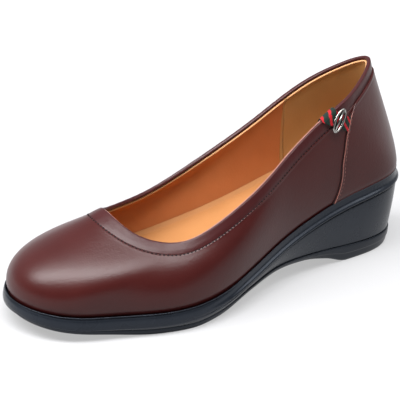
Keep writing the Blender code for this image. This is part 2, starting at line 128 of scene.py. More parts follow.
# %% Two smooth curves: one that closes on itself, one that never overshoots
def closed_spline(knots, values):
    """Periodic cubic through the rows of values, once round for knots from 0 to 1."""
    n = len(knots)
    step = np.diff(np.append(knots, knots[0] + 1.0))
    a, b = np.zeros((n, n)), np.zeros((n, values.shape[1]))
    for i in range(n):
        before, after = step[i - 1], step[i]
        a[i, i - 1] += before
        a[i, i] += 2 * (before + after)
        a[i, (i + 1) % n] += after
        b[i] = 6 * ((values[(i + 1) % n] - values[i]) / after - (values[i] - values[i - 1]) / before)
    bend = np.linalg.solve(a, b)

    def at(u):
        u = np.mod(np.asarray(u, float), 1.0)
        i = np.clip(np.searchsorted(knots, u, side="right") - 1, 0, n - 1)
        j = (i + 1) % n
        h, r = step[i][:, None], (u - knots[i])[:, None]
        q = h - r
        curve = (bend[i] * q**3 + bend[j] * r**3) / (6 * h)
        return curve + (values[i] / h - bend[i] * h / 6) * q + (values[j] / h - bend[j] * h / 6) * r
    return at


def smooth_line(xs, ys):
    """Cubic through the points that rises and falls only where they do."""
    xs, ys = np.array(xs, float), np.array(ys, float)
    h = np.diff(xs)
    d = np.diff(ys) / h
    m = np.zeros(len(xs))
    for i in range(1, len(xs) - 1):
        if d[i - 1] * d[i] > 0:
            w1, w2 = 2 * h[i] + h[i - 1], h[i] + 2 * h[i - 1]
            m[i] = (w1 + w2) / (w1 / d[i - 1] + w2 / d[i])
    m[0], m[-1] = d[0], d[-1]

    def at(x):
        x = np.clip(np.asarray(x, float), xs[0], xs[-1])
        i = np.clip(np.searchsorted(xs, x, side="right") - 1, 0, len(h) - 1)
        t = (x - xs[i]) / h[i]
        low = ys[i] * (1 + 2 * t) * (1 - t)**2 + h[i] * m[i] * t * (1 - t)**2
        return low + ys[i + 1] * t * t * (3 - 2 * t) + h[i] * m[i + 1] * t * t * (t - 1)
    return at


def fade(x, low, high):
    """From 0 at low to 1 at high, without a corner."""
    t = np.clip((np.asarray(x, float) - low) / (high - low), 0, 1)
    return t * t * (3 - 2 * t)


def bump(x, middle, width):
    """A soft hill of height 1."""
    return np.exp(-((np.asarray(x, float) - middle) / width)**2)


# %% The outline of the sole and its heights
TABLE = np.array([row[1:] for row in RIBS], float)
FOOT = np.c_[TABLE[:, 1] * HALF_BALL, LENGTH / 2 - TABLE[:, 0] * LENGTH]
CHORD = np.linalg.norm(np.roll(FOOT, -1, axis=0) - FOOT, axis=1)
KNOTS = np.append(0, np.cumsum(CHORD)[:-1]) / CHORD.sum()
ROUND = CHORD.sum()
outline = closed_spline(KNOTS, np.c_[
    FOOT, TABLE[:, 3] * HALF_BALL, LENGTH / 2 - TABLE[:, 2] * LENGTH,
    TABLE[:, 4] * COLLAR_HEIGHT, TABLE[:, 5:9], TABLE[:, 9] * WEDGE_TAPER])
bead_top = smooth_line([r[1] for r in SOLE], [r[2] * SEAT_HEIGHT for r in SOLE])
lift_top = smooth_line([r[1] for r in SOLE], [r[3] * LIFT_HEIGHT for r in SOLE])
underside = smooth_line([r[1] for r in SOLE], [r[4] * LIFT_HEIGHT for r in SOLE])


def station(y):
    """Share of the length from the heel back to the toe."""
    return np.clip((LENGTH / 2 - np.asarray(y)) / LENGTH, 0, 1)


def inward(u, columns):
    """Unit vector in plan, into the shoe."""
    tangent = outline(u + 1e-4)[:, columns] - outline(u - 1e-4)[:, columns]
    tangent /= np.linalg.norm(tangent, axis=1)[:, None]
    return np.c_[tangent[:, 1], -tangent[:, 0]]


def foot_ring(u, inset):
    """The outline of the sole in plan, moved in by inset."""
    u = np.asarray(u, float)
    return outline(u)[:, :2] + inward(u, [0, 1]) * np.asarray(inset).reshape(-1, 1)


print("outline of the sole is", round(ROUND * 1000), "mm round")


# %% Any point on the upper, and any point a little way off it
def ribs_at(u):
    """The four control points of the rib at each u, from the feather line to the rim."""
    col = outline(u)
    foot = foot_ring(u, UPPER_INSET)
    p0 = np.c_[foot, bead_top(station(foot[:, 1])) + CLEAR]
    p3 = col[:, 2:5]
    span = np.linalg.norm(p3 - p0, axis=1)[:, None]
    lean, tilt = np.radians(col[:, 5])[:, None], np.radians(col[:, 6])[:, None]
    up, flat = np.array([[0, 0, 1.0]]), np.zeros(len(u))
    p1 = p0 + span * col[:, 7:8] * (np.cos(tilt) * up - np.sin(tilt) * np.c_[inward(u, [0, 1]), flat])
    p2 = p3 - span * col[:, 8:9] * (np.cos(lean) * up + np.sin(lean) * np.c_[inward(u, [2, 3]), flat])
    return p0, p1, p2, p3


def along(controls, t):
    p0, p1, p2, p3 = controls
    return p0 * (1 - t)**3 + 3 * p1 * t * (1 - t)**2 + 3 * p2 * t * t * (1 - t) + p3 * t**3


def rib_runs(controls):
    """Length run along each rib, at 65 steps."""
    t = np.linspace(0, 1, 65)
    points = np.stack([along(controls, k) for k in t], axis=1)
    run = np.cumsum(np.linalg.norm(np.diff(points, axis=1), axis=2), axis=1)
    return t, np.concatenate([np.zeros((len(run), 1)), run], axis=1)


def on_last(u, share):
    """Points by share of the rib's length. A share over 1 goes straight on past the rim."""
    u, share = np.asarray(u, float), np.asarray(share, float)
    ribs, rib = np.unique(u, return_inverse=True)
    controls = ribs_at(ribs)
    t, run = rib_runs(controls)
    length = run[:, -1]
    at = np.empty(len(u))
    order = np.argsort(rib, kind="stable")
    ends = np.searchsorted(rib[order], np.arange(len(ribs) + 1))
    for k in range(len(ribs)):
        mine = order[ends[k]:ends[k + 1]]
        at[mine] = np.interp(np.clip(share[mine], 0, 1) * length[k], run[k], t)
    out = along([c[rib] for c in controls], at[:, None])
    way = (controls[3] - controls[2])[rib]
    way /= np.linalg.norm(way, axis=1)[:, None]
    return out + way * (np.maximum(share - 1, 0) * length[rib])[:, None]


def wall_length(u):
    """Length of the rib at each u, in metres."""
    ribs, rib = np.unique(np.asarray(u, float), return_inverse=True)
    return rib_runs(ribs_at(ribs))[1][:, -1][rib]


def outward(u, share):
    """Unit vector off the last."""
    du, dv = 2e-3, 2e-2
    round_way = on_last(u + du, share) - on_last(u - du, share)
    rise = on_last(u, np.clip(share + dv, dv, 1)) - on_last(u, np.clip(share - dv, 0, 1 - dv))
    normal = np.cross(rise, round_way)
    return normal / np.linalg.norm(normal, axis=1)[:, None]


def skin(u, share, lift):
    """The upper's outer face, moved out by lift."""
    u, share = np.asarray(u, float), np.asarray(share, float)
    return on_last(u, share) + outward(u, share) * np.asarray(lift).reshape(-1, 1)


# %% [markdown]
# ## Laying a piece on the last
#
# Leather comes flat. So every piece starts as a flat grid from the Add menu, and
# each of its points is moved to its place on the shoe. A `net` holds those places,
# row by row. Where the net closes on itself, its doubled points are merged, which
# leaves one closed skin, and the normals are turned outwards.

# %% The one function that lays a grid
def deselect():
    for thing in bpy.context.selected_objects:
        thing.select_set(False)


def lay(name, net):
    """A grid from the Add menu, with its points moved to the net's."""
    rows, columns = net.shape[:2]
    deselect()
    bpy.ops.mesh.primitive_grid_add(x_subdivisions=columns - 1, y_subdivisions=rows - 1, size=1)
    piece = bpy.context.object
    piece.name = piece.data.name = name
    piece.data.vertices.foreach_set("co", net.reshape(-1).astype(np.float32))
    bpy.ops.object.mode_set(mode="EDIT")
    bpy.ops.mesh.select_all(action="SELECT")
    bpy.ops.mesh.remove_doubles(threshold=2e-6)
    bpy.ops.mesh.normals_make_consistent(inside=False)
    bpy.ops.object.mode_set(mode="OBJECT")
    bpy.ops.object.shade_smooth()
    print(name, len(piece.data.polygons), "faces")
    return piece


def apply(piece, kind, **settings):
    """Add a modifier, set it and apply it."""
    bpy.context.view_layer.objects.active = piece
    made = piece.modifiers.new(kind.lower(), kind)
    for key, value in settings.items():
        setattr(made, key, value)
    bpy.ops.object.modifier_apply(modifier=made.name)


def columns_round(count, close=()):
    """Steps once round the shoe, with finer ones near the places in close."""
    u = np.linspace(0, 1, count + 1)
    near = (-1.6, -0.9, -0.55, -0.3, 0, 0.3, 0.55, 0.9, 1.6)
    extra = [place + d * MM / ROUND for place in close for d in near]
    u = np.unique(np.round(np.append(u, extra), 7))
    return u[(u >= 0) & (u <= 1)]


# %% [markdown]
# ## Materials
#
# Colours are written as they look on a screen, in hex, and one function turns
# them to the linear numbers that the shader wants. Others add nodes, and three
# give what nearly every material here has: a colour that drifts between two
# shades, a gloss that drifts with it, and a fine relief.

# %% Colour and node helpers
def linear(code):
    parts = [int(code[i:i + 2], 16) / 255 for i in (1, 3, 5)]
    return tuple(c / 12.92 if c <= 0.04045 else ((c + 0.055) / 1.055)**2.4 for c in parts) + (1.0,)


def add_node(tree, kind, settings=None, inputs=None):
    made = tree.nodes.new(kind)
    for key, value in (settings or {}).items():
        setattr(made, key, value)
    for key, value in (inputs or {}).items():
        if isinstance(value, bpy.types.NodeSocket):
            tree.links.new(value, made.inputs[key])
        else:
            made.inputs[key].default_value = value
    return made


def calc(tree, operation, *values):
    """One sum with numbers or sockets."""
    return add_node(tree, "ShaderNodeMath", {"operation": operation}, dict(enumerate(values))).outputs[0]


def new_material(name, **sockets):
    """A Principled shader with its constants, and its tree to build on."""
    made = bpy.data.materials.new(name)
    made.use_nodes = True
    tree = made.node_tree
    shader = tree.nodes["Principled BSDF"]
    for key, value in sockets.items():
        shader.inputs[key.replace("_", " ")].default_value = value
    made.diffuse_color = shader.inputs["Base Color"].default_value
    return made, tree, shader


def two_tone(tree, shader, share, dark, light):
    """Base colour between dark, at 0, and light, at 1."""
    colour = add_node(tree, "ShaderNodeMix", {"data_type": "RGBA"}, {0: share, 6: dark, 7: light})
    tree.links.new(colour.outputs[2], shader.inputs["Base Color"])


def mottle(tree, shader, scale, dark, light, detail=2.0):
    """Soft clouds of two shades. Gives the place and the clouds to build on."""
    place = add_node(tree, "ShaderNodeTexCoord").outputs["Object"]
    cloud = add_node(tree, "ShaderNodeTexNoise", inputs={"Vector": place, "Scale": scale, "Detail": detail})
    two_tone(tree, shader, cloud.outputs["Fac"], dark, light)
    return place, cloud.outputs["Fac"]


def gloss(tree, shader, value, low, high):
    """Roughness from low to high, as the value goes from 0 to 1."""
    drift = add_node(tree, "ShaderNodeMapRange", inputs={"Value": value, "To Min": low, "To Max": high})
    tree.links.new(drift.outputs["Result"], shader.inputs["Roughness"])


def relief(tree, shader, height, strength, distance):
    dents = add_node(tree, "ShaderNodeBump", inputs={
        "Height": height, "Strength": strength, "Distance": distance})
    tree.links.new(dents.outputs["Normal"], shader.inputs["Normal"])


def wear(piece, made):
    piece.data.materials.clear()
    piece.data.materials.append(made)


# %% Calf leather, dyed maroon and finished smooth: a fine grain under a soft wax shine
def calf(name, dark, light, rough):
    made, tree, shader = new_material(name, IOR=1.37)
    # dye takes up unevenly over about 20 mm
    place, cloud = mottle(tree, shader, 55.0, linear(dark), linear(light), 3.0)
    gloss(tree, shader, cloud, rough - 0.03, rough + 0.03)
    # grain cells are 0.4 mm on real calf, drawn at 0.9 mm so that they show
    grain = add_node(tree, "ShaderNodeTexVoronoi", {"feature": "SMOOTH_F1"}, {"Vector": place, "Scale": 1100.0})
    slow = add_node(tree, "ShaderNodeTexNoise", inputs={"Vector": place, "Scale": 160.0, "Detail": 2.0})
    both = calc(tree, "MULTIPLY_ADD", slow.outputs["Fac"], 1.6, grain.outputs["Distance"])
    relief(tree, shader, both, 0.10, 0.0004)
    return made


MAROON = calf("maroon_calf_leather", "#37100f", "#411513", 0.34)
# painted highlight: the cord on the rim's fold is a paler leather, painted with the light that the fold catches
RIM_FOLD_HIGHLIGHT = calf("rim_fold_painted_highlight", "#96685f", "#a87a70", 0.42)
# painted highlight: the counter's turned edge is a paler leather, painted with the light it catches
TURNED_EDGE_HIGHLIGHT = calf("turned_edge_painted_highlight", "#84564f", "#946359", 0.36)
# painted shade: a near-black cord laid just outside the counter's edge paints the shadow in the gap there
GAP_SHADE = calf("painted_gap_shade", "#14070a", "#1b0a0d", 0.50)
BAND_LEATHER = calf("maroon_calf_band", "#350f10", "#3f1415", 0.40)


# %% Lining leather: undyed pigskin, matt and warm, with fine pores
def lining_leather(name, dark, light):
    made, tree, shader = new_material(name, IOR=1.38, Roughness=0.72, Sheen_Weight=0.03, Sheen_Roughness=0.5)
    place, cloud = mottle(tree, shader, 70.0, linear(dark), linear(light), 4.0)
    # pores stand about 1 mm apart
    pores = add_node(tree, "ShaderNodeTexVoronoi", inputs={"Vector": place, "Scale": 900.0})
    relief(tree, shader, pores.outputs["Distance"], 0.12, 0.0003)
    return made


TAN = lining_leather("tan_lining_leather", "#b06a3a", "#bc7645")
HEEL_TAN = lining_leather("heel_lining_suede", "#a77d4a", "#b38954")
SOCK = lining_leather("tan_sock_leather", "#a36e3d", "#ae7847")
# painted highlight: the lining's turned edge is a paler tan, painted with the light it catches
LINING_EDGE_HIGHLIGHT = lining_leather("lining_edge_painted_highlight", "#c59263", "#d19f70")


# %% Sole: injection-moulded foam with a dense satin skin
def moulded(name, dark, light, rough):
    made, tree, shader = new_material(name, IOR=1.37)
    shader.inputs["Specular Tint"].default_value = linear("#dee8fa")
    place, cloud = mottle(tree, shader, 90.0, linear(dark), linear(light), 3.0)
    gloss(tree, shader, cloud, rough - 0.04, rough + 0.04)
    # the mould is etched with a 0.3 mm grain, drawn at 0.8 mm
    etch = add_node(tree, "ShaderNodeTexNoise", inputs={"Vector": place, "Scale": 1200.0, "Detail": 1.0})
    relief(tree, shader, etch.outputs["Fac"], 0.10, 0.0003)
    return made


SOLE_SKIN = moulded("moulded_sole_skin", "#191c22", "#1f2329", 0.28)
TREAD_RUBBER = moulded("dense_tread_rubber", "#17191e", "#1c1f24", 0.36)
print("leather, lining and sole materials made")

# %% [markdown]
# ## The vamp and quarters
#
# One skin of calf leather, 1 mm thick, runs from under the sole's bead up to the
# topline. Just under the band its edge is turned in, which leaves a soft roll, and
# the seam pulls a shallow ditch above it. The roll and the ditch are in the shape,
# so they catch light from any side.

# %% Width of the topline band, and the leather under it
JOINT = 0.850          # where the ends of the band meet, on the inner side
SEAM_INNER = 0.868     # seams of the lining
SEAM_OUTER = 0.142
UNDER_BAND = 3.0       # mm of the vamp that run on under the band
VAMP_THICK = 1.0       # mm
FOOT_GAP = 0.0004      # from the leather's foot down to the floor of its recess


def band_width(u):
    """Narrow at the back, wide on the quarters, a little wider still at the front."""
    away = np.minimum(np.mod(u, 1), np.mod(-u, 1))
    return 0.0052 + 0.0013 * fade(away, 0.045, 0.110) + 0.0008 * fade(away, 0.43, 0.50)


def vamp_lift(u, under):
    """Relief by mm under the band's edge: a ditch, then a roll that is strongest along the quarters."""
    side = 1 - fade(np.minimum(u, 1 - u), 0.22, 0.34)
    ditch = (-0.05 - 0.10 * side) * bump(under, 0.2, 0.5) * MM
    return ditch + (0.03 + 0.22 * side) * bump(under, 1.25, 0.55) * MM


def vamp_foot(inset):
    """The vamp's lowest row, down in the recess of the sole."""
    ring = foot_ring(around, UPPER_INSET + inset)
    return np.c_[ring, bead_top(station(ring[:, 1])) - CUP_DEPTH + FOOT_GAP]


around = columns_round(300)
width = band_width(around)
length = wall_length(around)
steps = [-UNDER_BAND, -1.5, -0.7, -0.35, -0.1, 0.1, 0.3, 0.5, 0.75, 1.0, 1.3, 1.6, 2.0, 2.6, 3.4, 4.4]
outer = []
for step in steps:
    share = 1 - (width + step * MM) / length
    outer.append(skin(around, share, vamp_lift(around, step)))
top_share = 1 - (width + steps[-1] * MM) / length
for k in np.linspace(0, 1, 30)[1:]:
    share = top_share * (1 - k)
    tuck = -0.5 * bump(share * length / MM, 0.0, 1.3) * MM
    outer.append(skin(around, share, tuck))
outer.append(vamp_foot(0.0005))
inner = [vamp_foot(0.0015)]
for k in np.linspace(0.02, 1, 24):
    share = k * (1 - (width - UNDER_BAND * MM) / length)
    inner.append(skin(around, share, np.full(len(around), -VAMP_THICK * MM)))
vamp = lay("vamp", np.stack(outer + inner + [outer[0]]))
wear(vamp, MAROON)
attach(vamp, "root")
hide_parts("upper")

# %% [markdown]
# ## The topline band
#
# A soft strip is sewn round the collar, rolled over the rim and sewn down inside.
# It is a little over 7 mm wide at the front of the throat, 6.5 mm along the
# quarters and 5 mm at the back. Its section is drawn once, as distance under the
# rim and height off the leather, and swept all round. Its ends meet on the inner
# side in a small nick.

# %% The band's section, swept round the collar
FOLD_RISE = 0.75       # mm that the fold stands above the rim
FOLD_MIDDLE = -0.62    # mm off the leather, the middle of the fold's half round
FOLD_HALF = 1.10       # mm, half its thickness
WALL_MIDDLE = -0.6     # mm, the middle of the wall that the band is folded over


def band_section(u):
    """Rows of the section as (metres under the rim, mm off the leather)."""
    w = band_width(u)
    one = np.ones(len(u))
    rows = [(w + 0.0003, -0.25), (w + 0.0002, 0.00), (w - 0.0003, 0.10), (w - 0.0009, 0.20), (w - 0.0017, 0.30),
            (w * 0.66, 0.38), (w * 0.50, 0.43), (w * 0.34, 0.46), (w * 0.2, 0.48), (one * 0.0006, 0.48)]
    # the fold over the rim: a half round, squared a little
    for a in np.radians([8, 25, 45, 65, 90, 115, 135, 155, 172]):
        off = math.copysign(abs(math.cos(a))**0.8, math.cos(a))
        rows.append((one * -FOLD_RISE * math.sin(a)**0.8 * MM, FOLD_MIDDLE + FOLD_HALF * off))
    # the flap inside, and back to the start under the band
    for down, lift in ((0.6, -1.72), (1.2, -1.68), (1.7, -1.58), (2.1, -1.40),
                       (2.0, -1.15), (1.0, -0.95), (0.2, -0.60), (1.0, -0.35)):
        rows.append((one * down * MM, lift))
    return rows + [(w * 0.6, -0.35), (w - 0.0002, -0.35)]


around = columns_round(300, close=(JOINT,))
length = wall_length(around)
nick = bump((around - JOINT) * ROUND / MM, 0, 0.38)
# the strip's face waves by hundredths of a mm, every 9 mm or so
ripple = 0.03 * np.sin(around * ROUND / (9 * MM) * math.tau + 3 * np.sin(around * 40))
rows = []
for down, lift in band_section(around):
    off = lift - WALL_MIDDLE + (ripple if lift > 0 else 0)
    pull = np.where(np.abs(off) > 0.7, 1 - 0.42 * nick, 1.0)
    share = 1 - (down + 0.35 * MM * nick * (down < 0)) / length
    rows.append(skin(around, share, (WALL_MIDDLE + off * pull) * MM))
band = lay("topline_strip", np.stack(rows + rows[:1]))
wear(band, BAND_LEATHER)
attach(band, "root")
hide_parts("topline_band")

# %% [markdown]
# ## The heel counter
#
# A stiff panel wraps the heel, over the quarters. Its edges are turned, so they
# are thicker and rounder than the panel, and a row of stitches runs 2 mm in.
# The front edge leans back from the sole up to the ribbon and then runs along the
# band to the back. Rows go up the panel, and columns are set by their distance
# from the front edge, so the turned edge keeps its width.

# %% The counter's front edge and its skin
# share of the panel's height, share of the ring on each side
COUNTER_EDGE = [
    ("foot",     0.00, 0.1310),
    ("seat",     0.18, 0.1245),
    ("low",      0.29, 0.1212),
    ("middle",   0.48, 0.1160),
    ("high",     0.62, 0.1085),
    ("bend",     0.76, 0.0990),
    ("shoulder", 0.85, 0.0880),
    ("turn",     0.93, 0.0760),
    ("top",      1.00, 0.0580),
]
counter_reach = smooth_line([r[1] for r in COUNTER_EDGE], [r[2] for r in COUNTER_EDGE])
# mm in from a turned edge, close together where it is round
EDGE_STEPS = np.array([0, 0.12, 0.3, 0.5, 0.75, 1.0, 1.3, 1.6, 2.0, 2.5, 3.2, 4.2])


def counter_lift(edge):
    """Height off the vamp by distance in from the panel's edge, in mm."""
    return np.interp(edge, [0, 0.12, 0.3, 0.6, 1.0, 1.5, 2.0, 2.6, 40],
                     [-0.30, 0.40, 0.70, 0.88, 0.94, 0.90, 0.76, 0.82, 0.82]) * MM


def counter_share(u, level):
    """Share of the rib at a level of the counter, which ends at the band."""
    return level * (1 - (band_width(u) + CLEAR) / wall_length(u))


def counter_net():
    half = np.append(EDGE_STEPS, np.linspace(5.5, 70, 34))
    # mm from the sole to the band, taken beside the back
    tall = wall_length(np.array([0.05]))[0] * 0.88 / MM
    levels = np.append(np.linspace(-0.02, 0.935, 44), 1 - EDGE_STEPS[-2::-1] / tall)
    last = EDGE_STEPS[-1]
    net = []
    for level in levels:
        reach = counter_reach(max(level, 0))
        # the upper leans in, so a share of the ring is shorter higher up
        span = reach * ROUND / MM * (1 - 0.16 * level)
        inside = last + (half - last) / (half[-1] - last) * (span - last)
        edge = np.where(half <= last, np.minimum(half, span), inside)
        c = 1 - edge / span
        u = np.append(-reach * c, (reach * c)[::-1][1:])
        both = np.append(edge, edge[::-1][1:])
        near = np.minimum(both, (1 - level) * tall)
        share = counter_share(u, level)
        tuck = 0.5 * MM * bump(share * 50, 0, 1.2)
        net.append(skin(u, np.maximum(share, 0), counter_lift(near) - tuck))
    return np.stack(net)


counter = lay("heel_counter", counter_net())
apply(counter, "SOLIDIFY", thickness=0.0006, offset=-1.0)
wear(counter, MAROON)
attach(counter, "root")
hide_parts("counter")

# %% [markdown]
# ## The lining
#
# Inside, the forefoot is lined with tan leather and the heel with a browner suede
# that grips the foot. The two overlap by almost 3 mm on each side. Both end just
# under the rim in a turned edge, which shows as a light line; a cord along it is painted pale as that
# highlight.

# %% Two lining pieces
LAP = 0.003            # share of the ring


def lining(name, low_u, high_u, lift, made):
    """A piece from low_u to high_u, its face lift mm off the upper, thinned at both ends."""
    ends = np.array([0, 0.2, 0.5, 0.9, 1.5, 2.4]) * MM / ROUND
    u = np.concatenate([low_u + ends, np.linspace(low_u, high_u, 150)[2:-2], high_u - ends[::-1]])
    length = wall_length(u)
    taper = np.minimum((u - low_u), (high_u - u)) * ROUND / MM
    thick = 0.75 * np.sqrt(np.clip(taper / 0.7, 0, 1))
    tuck = 0.35 * (thick < 0.1)
    # the turned edge: mm under the rim, and mm that it stands proud of the face
    drop = [1.25, 1.35, 1.55, 1.85, 2.25, 2.7, 3.2, 3.9, 4.9, 6.3]
    proud = [-0.35, -0.02, 0.20, 0.36, 0.40, 0.32, 0.16, 0.05, 0.0, 0.0]
    face = [skin(u, 1 - d * MM / length, (lift - p * (thick > 0.4) + tuck) * MM) for d, p in zip(drop, proud)]
    top = 1 - drop[-1] * MM / length
    for k in np.linspace(0, 1, 26)[1:]:
        slow = 0.22 * np.sin(u * ROUND / (31 * MM) + 5 * k) * np.sin(math.pi * k) * (1 - k)
        face.append(skin(u, top * (1 - k), (lift + slow + tuck) * MM))
    back = [skin(u, np.full(len(u), k) * top, (lift + thick) * MM) for k in np.linspace(0.0, 1, 12)]
    back.append(skin(u, 1 - 1.4 * MM / length, (lift + thick) * MM))
    piece = lay(name, np.stack(face + back + face[:1]))
    wear(piece, made)
    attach(piece, "root")


lining("front_lining", SEAM_OUTER - LAP, SEAM_INNER + LAP, -1.85, TAN)
lining("heel_lining", SEAM_INNER - 1.0 - LAP / 2, SEAM_OUTER + LAP / 2, -1.95, HEEL_TAN)


# %% Fine cords: a painted highlight on the edge of the rim, on the lining's turned edge and on the counter's turned edge, and painted shade in the gap at the counter's edge
def cord(name, points, outs, radius, made, slot, thin=0.12):
    """A round cord along points, thinned to nothing at both ends."""
    way = np.gradient(points, axis=0)
    way /= np.linalg.norm(way, axis=1)[:, None]
    across = np.cross(outs, way)
    along_it = np.linspace(0, 1, len(points))
    thick = radius * MM * np.sqrt(np.clip(np.minimum(along_it, 1 - along_it) / thin, 0, 1))[:, None]
    turns = np.linspace(0, math.tau, 9)[:-1]
    rows = [points + thick * (outs * math.cos(a) + across * math.sin(a)) for a in turns]
    made_cord = lay(name, np.stack(rows + rows[:1]))
    wear(made_cord, made)
    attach(made_cord, "root")


def on_skin(u, share, lift):
    """Points lift mm off the upper along a line, and the ways out of it there."""
    return skin(u, share, lift * MM), outward(u, np.minimum(share, 1))


def along_rim(low, high, down, lift):
    u = np.linspace(low, high, 400)
    return on_skin(u, 1 - down * MM / wall_length(u), lift)


def along_counter(sign, edge_mm, lift, level=np.linspace(0.0, 0.95, 200)):
    u = sign * (counter_reach(level) - edge_mm * MM / ROUND)
    return on_skin(u, counter_share(u, level), lift)


# the rim cord is painted pale as the highlight along the fold
cord("rim_edge", *along_rim(0.105, 0.545, -0.80, -0.95), 0.34, RIM_FOLD_HIGHLIGHT, "leather", thin=0.03)
# the lining's edge cord is painted pale as its highlight
cord("lining_edge", *along_rim(-0.130, 0.868, 1.60, -2.25), 0.55, LINING_EDGE_HIGHLIGHT, "lining_leather", thin=0.01)
for sign, side_name in SIDES:
    shade_cord, turned = along_counter(sign, -0.25, 0.02), along_counter(sign, 0.50, 0.80)
    # the dark cord outside the counter's edge is painted shade for the gap
    cord("counter_gap_shade_cord_" + side_name, *shade_cord, 0.32, GAP_SHADE, "leather", thin=0.02)
    # the turned edge's cord is painted pale as its highlight
    cord("counter_turned_edge_" + side_name, *turned, 0.28, TURNED_EDGE_HIGHLIGHT, "leather", thin=0.02)

# %% [markdown]
# ## The sole
#
# The wedge, its bead and the ledge under the leather are one moulding. To close it
# underneath, points on the two sides are paired by how far back they stand, and
# both run in to one middle line. The bead starts as a ledge under the leather, has
# a groove and a cove on top, slopes out to a round lip, and is undercut along the
# wedge. Towards the toe the undercut fades and the side becomes one smooth wall.

# %% Points of the outline, paired across the shoe
def paired_ring(count):
    """Places round the outline, so that place k and place -k stand equally far back."""
    fine = np.arange(6000) / 6000
    y = outline(fine)[:, 1]
    back, tip = fine[y.argmax()], fine[y.argmin()]
    back -= 1 if back > 0.5 else 0
    wanted = y.min() + (y.max() - y.min()) * (np.cos(np.pi * np.arange(count + 1) / count) + 1) / 2
    one, other = np.linspace(back, tip, 4000), np.linspace(tip, back + 1, 4000)
    outer = np.interp(-wanted, -outline(one)[:, 1], one)
    inner = np.interp(wanted[::-1], outline(other)[:, 1], other)
    return np.append(outer, inner[1:-1])


# one value per place of the ring, in metres where it is a length
HALF = 120
RING = paired_ring(HALF)
RING_STATION = station(outline(RING)[:, 1])
TAPER = outline(RING)[:, 9]                   # how far the wedge slopes in
WEDGE = 1 - fade(RING_STATION, 0.50, 0.68)    # 1 on the wedge, 0 on the forefoot
GROOVE = 0.0012 * (0.25 + 0.75 * WEDGE)       # depth of the undercut below the bead
RAND = 0.0062 + 0.0010 * (1 - fade(RING_STATION, 0.1, 0.6))    # height of the bead
SIDE = GROOVE + TAPER


def blend(on_wedge, on_forefoot):
    return on_wedge * WEDGE + on_forefoot * (1 - WEDGE)


def ring_at(inset, height):
    """A row round the sole. The height is a number, one per place, or a curve by station."""
    plan = foot_ring(RING, np.broadcast_to(inset, RING.shape))
    z = height(station(plan[:, 1])) if callable(height) else np.broadcast_to(height, RING.shape)
    return np.c_[plan, z]


def to_middle(ring, shares, height=None):
    """Rows from a ring in to the line down the middle of the shoe."""
    other = ring[(-np.arange(len(ring))) % len(ring)]
    middle = (ring + other) / 2
    rows = []
    for share in shares:
        row = ring + (middle - ring) * share
        if height is not None:
            row[:, 2] = height(row, share)
        rows.append(row)
    return rows


def closed(rows):
    net = np.stack(rows)
    return np.concatenate([net, net[:, :1]], axis=1)


# %% The bead and the wedge
# inset on the wedge in mm, share of the bead's height, inset on the forefoot in mm
BEAD = [
    (1.95, 0.22, 1.95), (1.93, 0.10, 1.80), (1.88, 0.02, 1.55), (1.80, -0.02, 1.25), (1.66, -0.01, 0.95),
    (1.58, 0.02, 0.82), (1.62, 0.05, 1.10), (1.70, 0.08, 1.35), (1.66, 0.12, 1.30), (1.61, 0.20, 0.75),
    (1.58, 0.32, 0.46), (1.52, 0.44, 0.28), (1.40, 0.535, 0.17), (1.18, 0.595, 0.11), (0.90, 0.64, 0.07),
    (0.58, 0.685, 0.04), (0.30, 0.73, 0.02), (0.11, 0.775, 0.00), (0.01, 0.82, 0.00), (0.00, 0.875, 0.02),
    (0.10, 0.92, 0.05), (0.40, 0.955, 0.08), (0.85, 0.98, 0.10), (1.20, 1.00, 0.11),
]
top = ring_at(0, bead_top)[:, 2]
lower = ring_at(SIDE, lift_top)[:, 2]
under = np.maximum(top - RAND, lower + 0.0012)
high = top - under
rows = to_middle(ring_at(UPPER_INSET, top - CUP_DEPTH), [1, 0.8, 0.5, 0.2, 0])
for wedge_inset, share, fore_inset in BEAD:
    rows.append(ring_at(blend(wedge_inset, fore_inset) * MM, top - high * share))
# the undercut, its depth and its share of the gap under the lip
wall_top = blend(GROOVE, GROOVE * 0.35)
gap = blend(0.0010, 0.0003)
for deep, share in ((0.9, 0.05), (1.0, 0.25), (0.9, 0.50), (0.35, 0.78), (0.08, 0.92), (0.0, 1.0)):
    rows.append(ring_at(wall_top + deep * MM * WEDGE, under - gap * share))
# the wall, hollowed by 0.2 mm
for share in (0.04, 0.12, 0.25, 0.4, 0.55, 0.7, 0.85, 0.96):
    inset = wall_top + (SIDE - wall_top) * share**1.25 - 0.0002 * math.sin(math.pi * share)
    rows.append(ring_at(inset, (under - gap) + (lower - under + gap) * share))
rows.append(ring_at(SIDE, lower))
rows += to_middle(rows[-1], [0.05, 0.4, 1])
wedge = lay("wedge_and_bead", closed(rows))
wear(wedge, SOLE_SKIN)
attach(wedge, "root")
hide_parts("midsole")

# %% [markdown]
# ## The outsole
#
# A denser layer is moulded on below. It stands a step out from the wedge, has a
# fine line along its side where the mould halves met, and draws in towards the
# floor. Underneath, a rim runs round a shallow bed of tread bars.

# %% Outsole with its bed
BED = 0.0010           # depth of the bed
RIM_WIDE = 0.0035      # of the rim round it
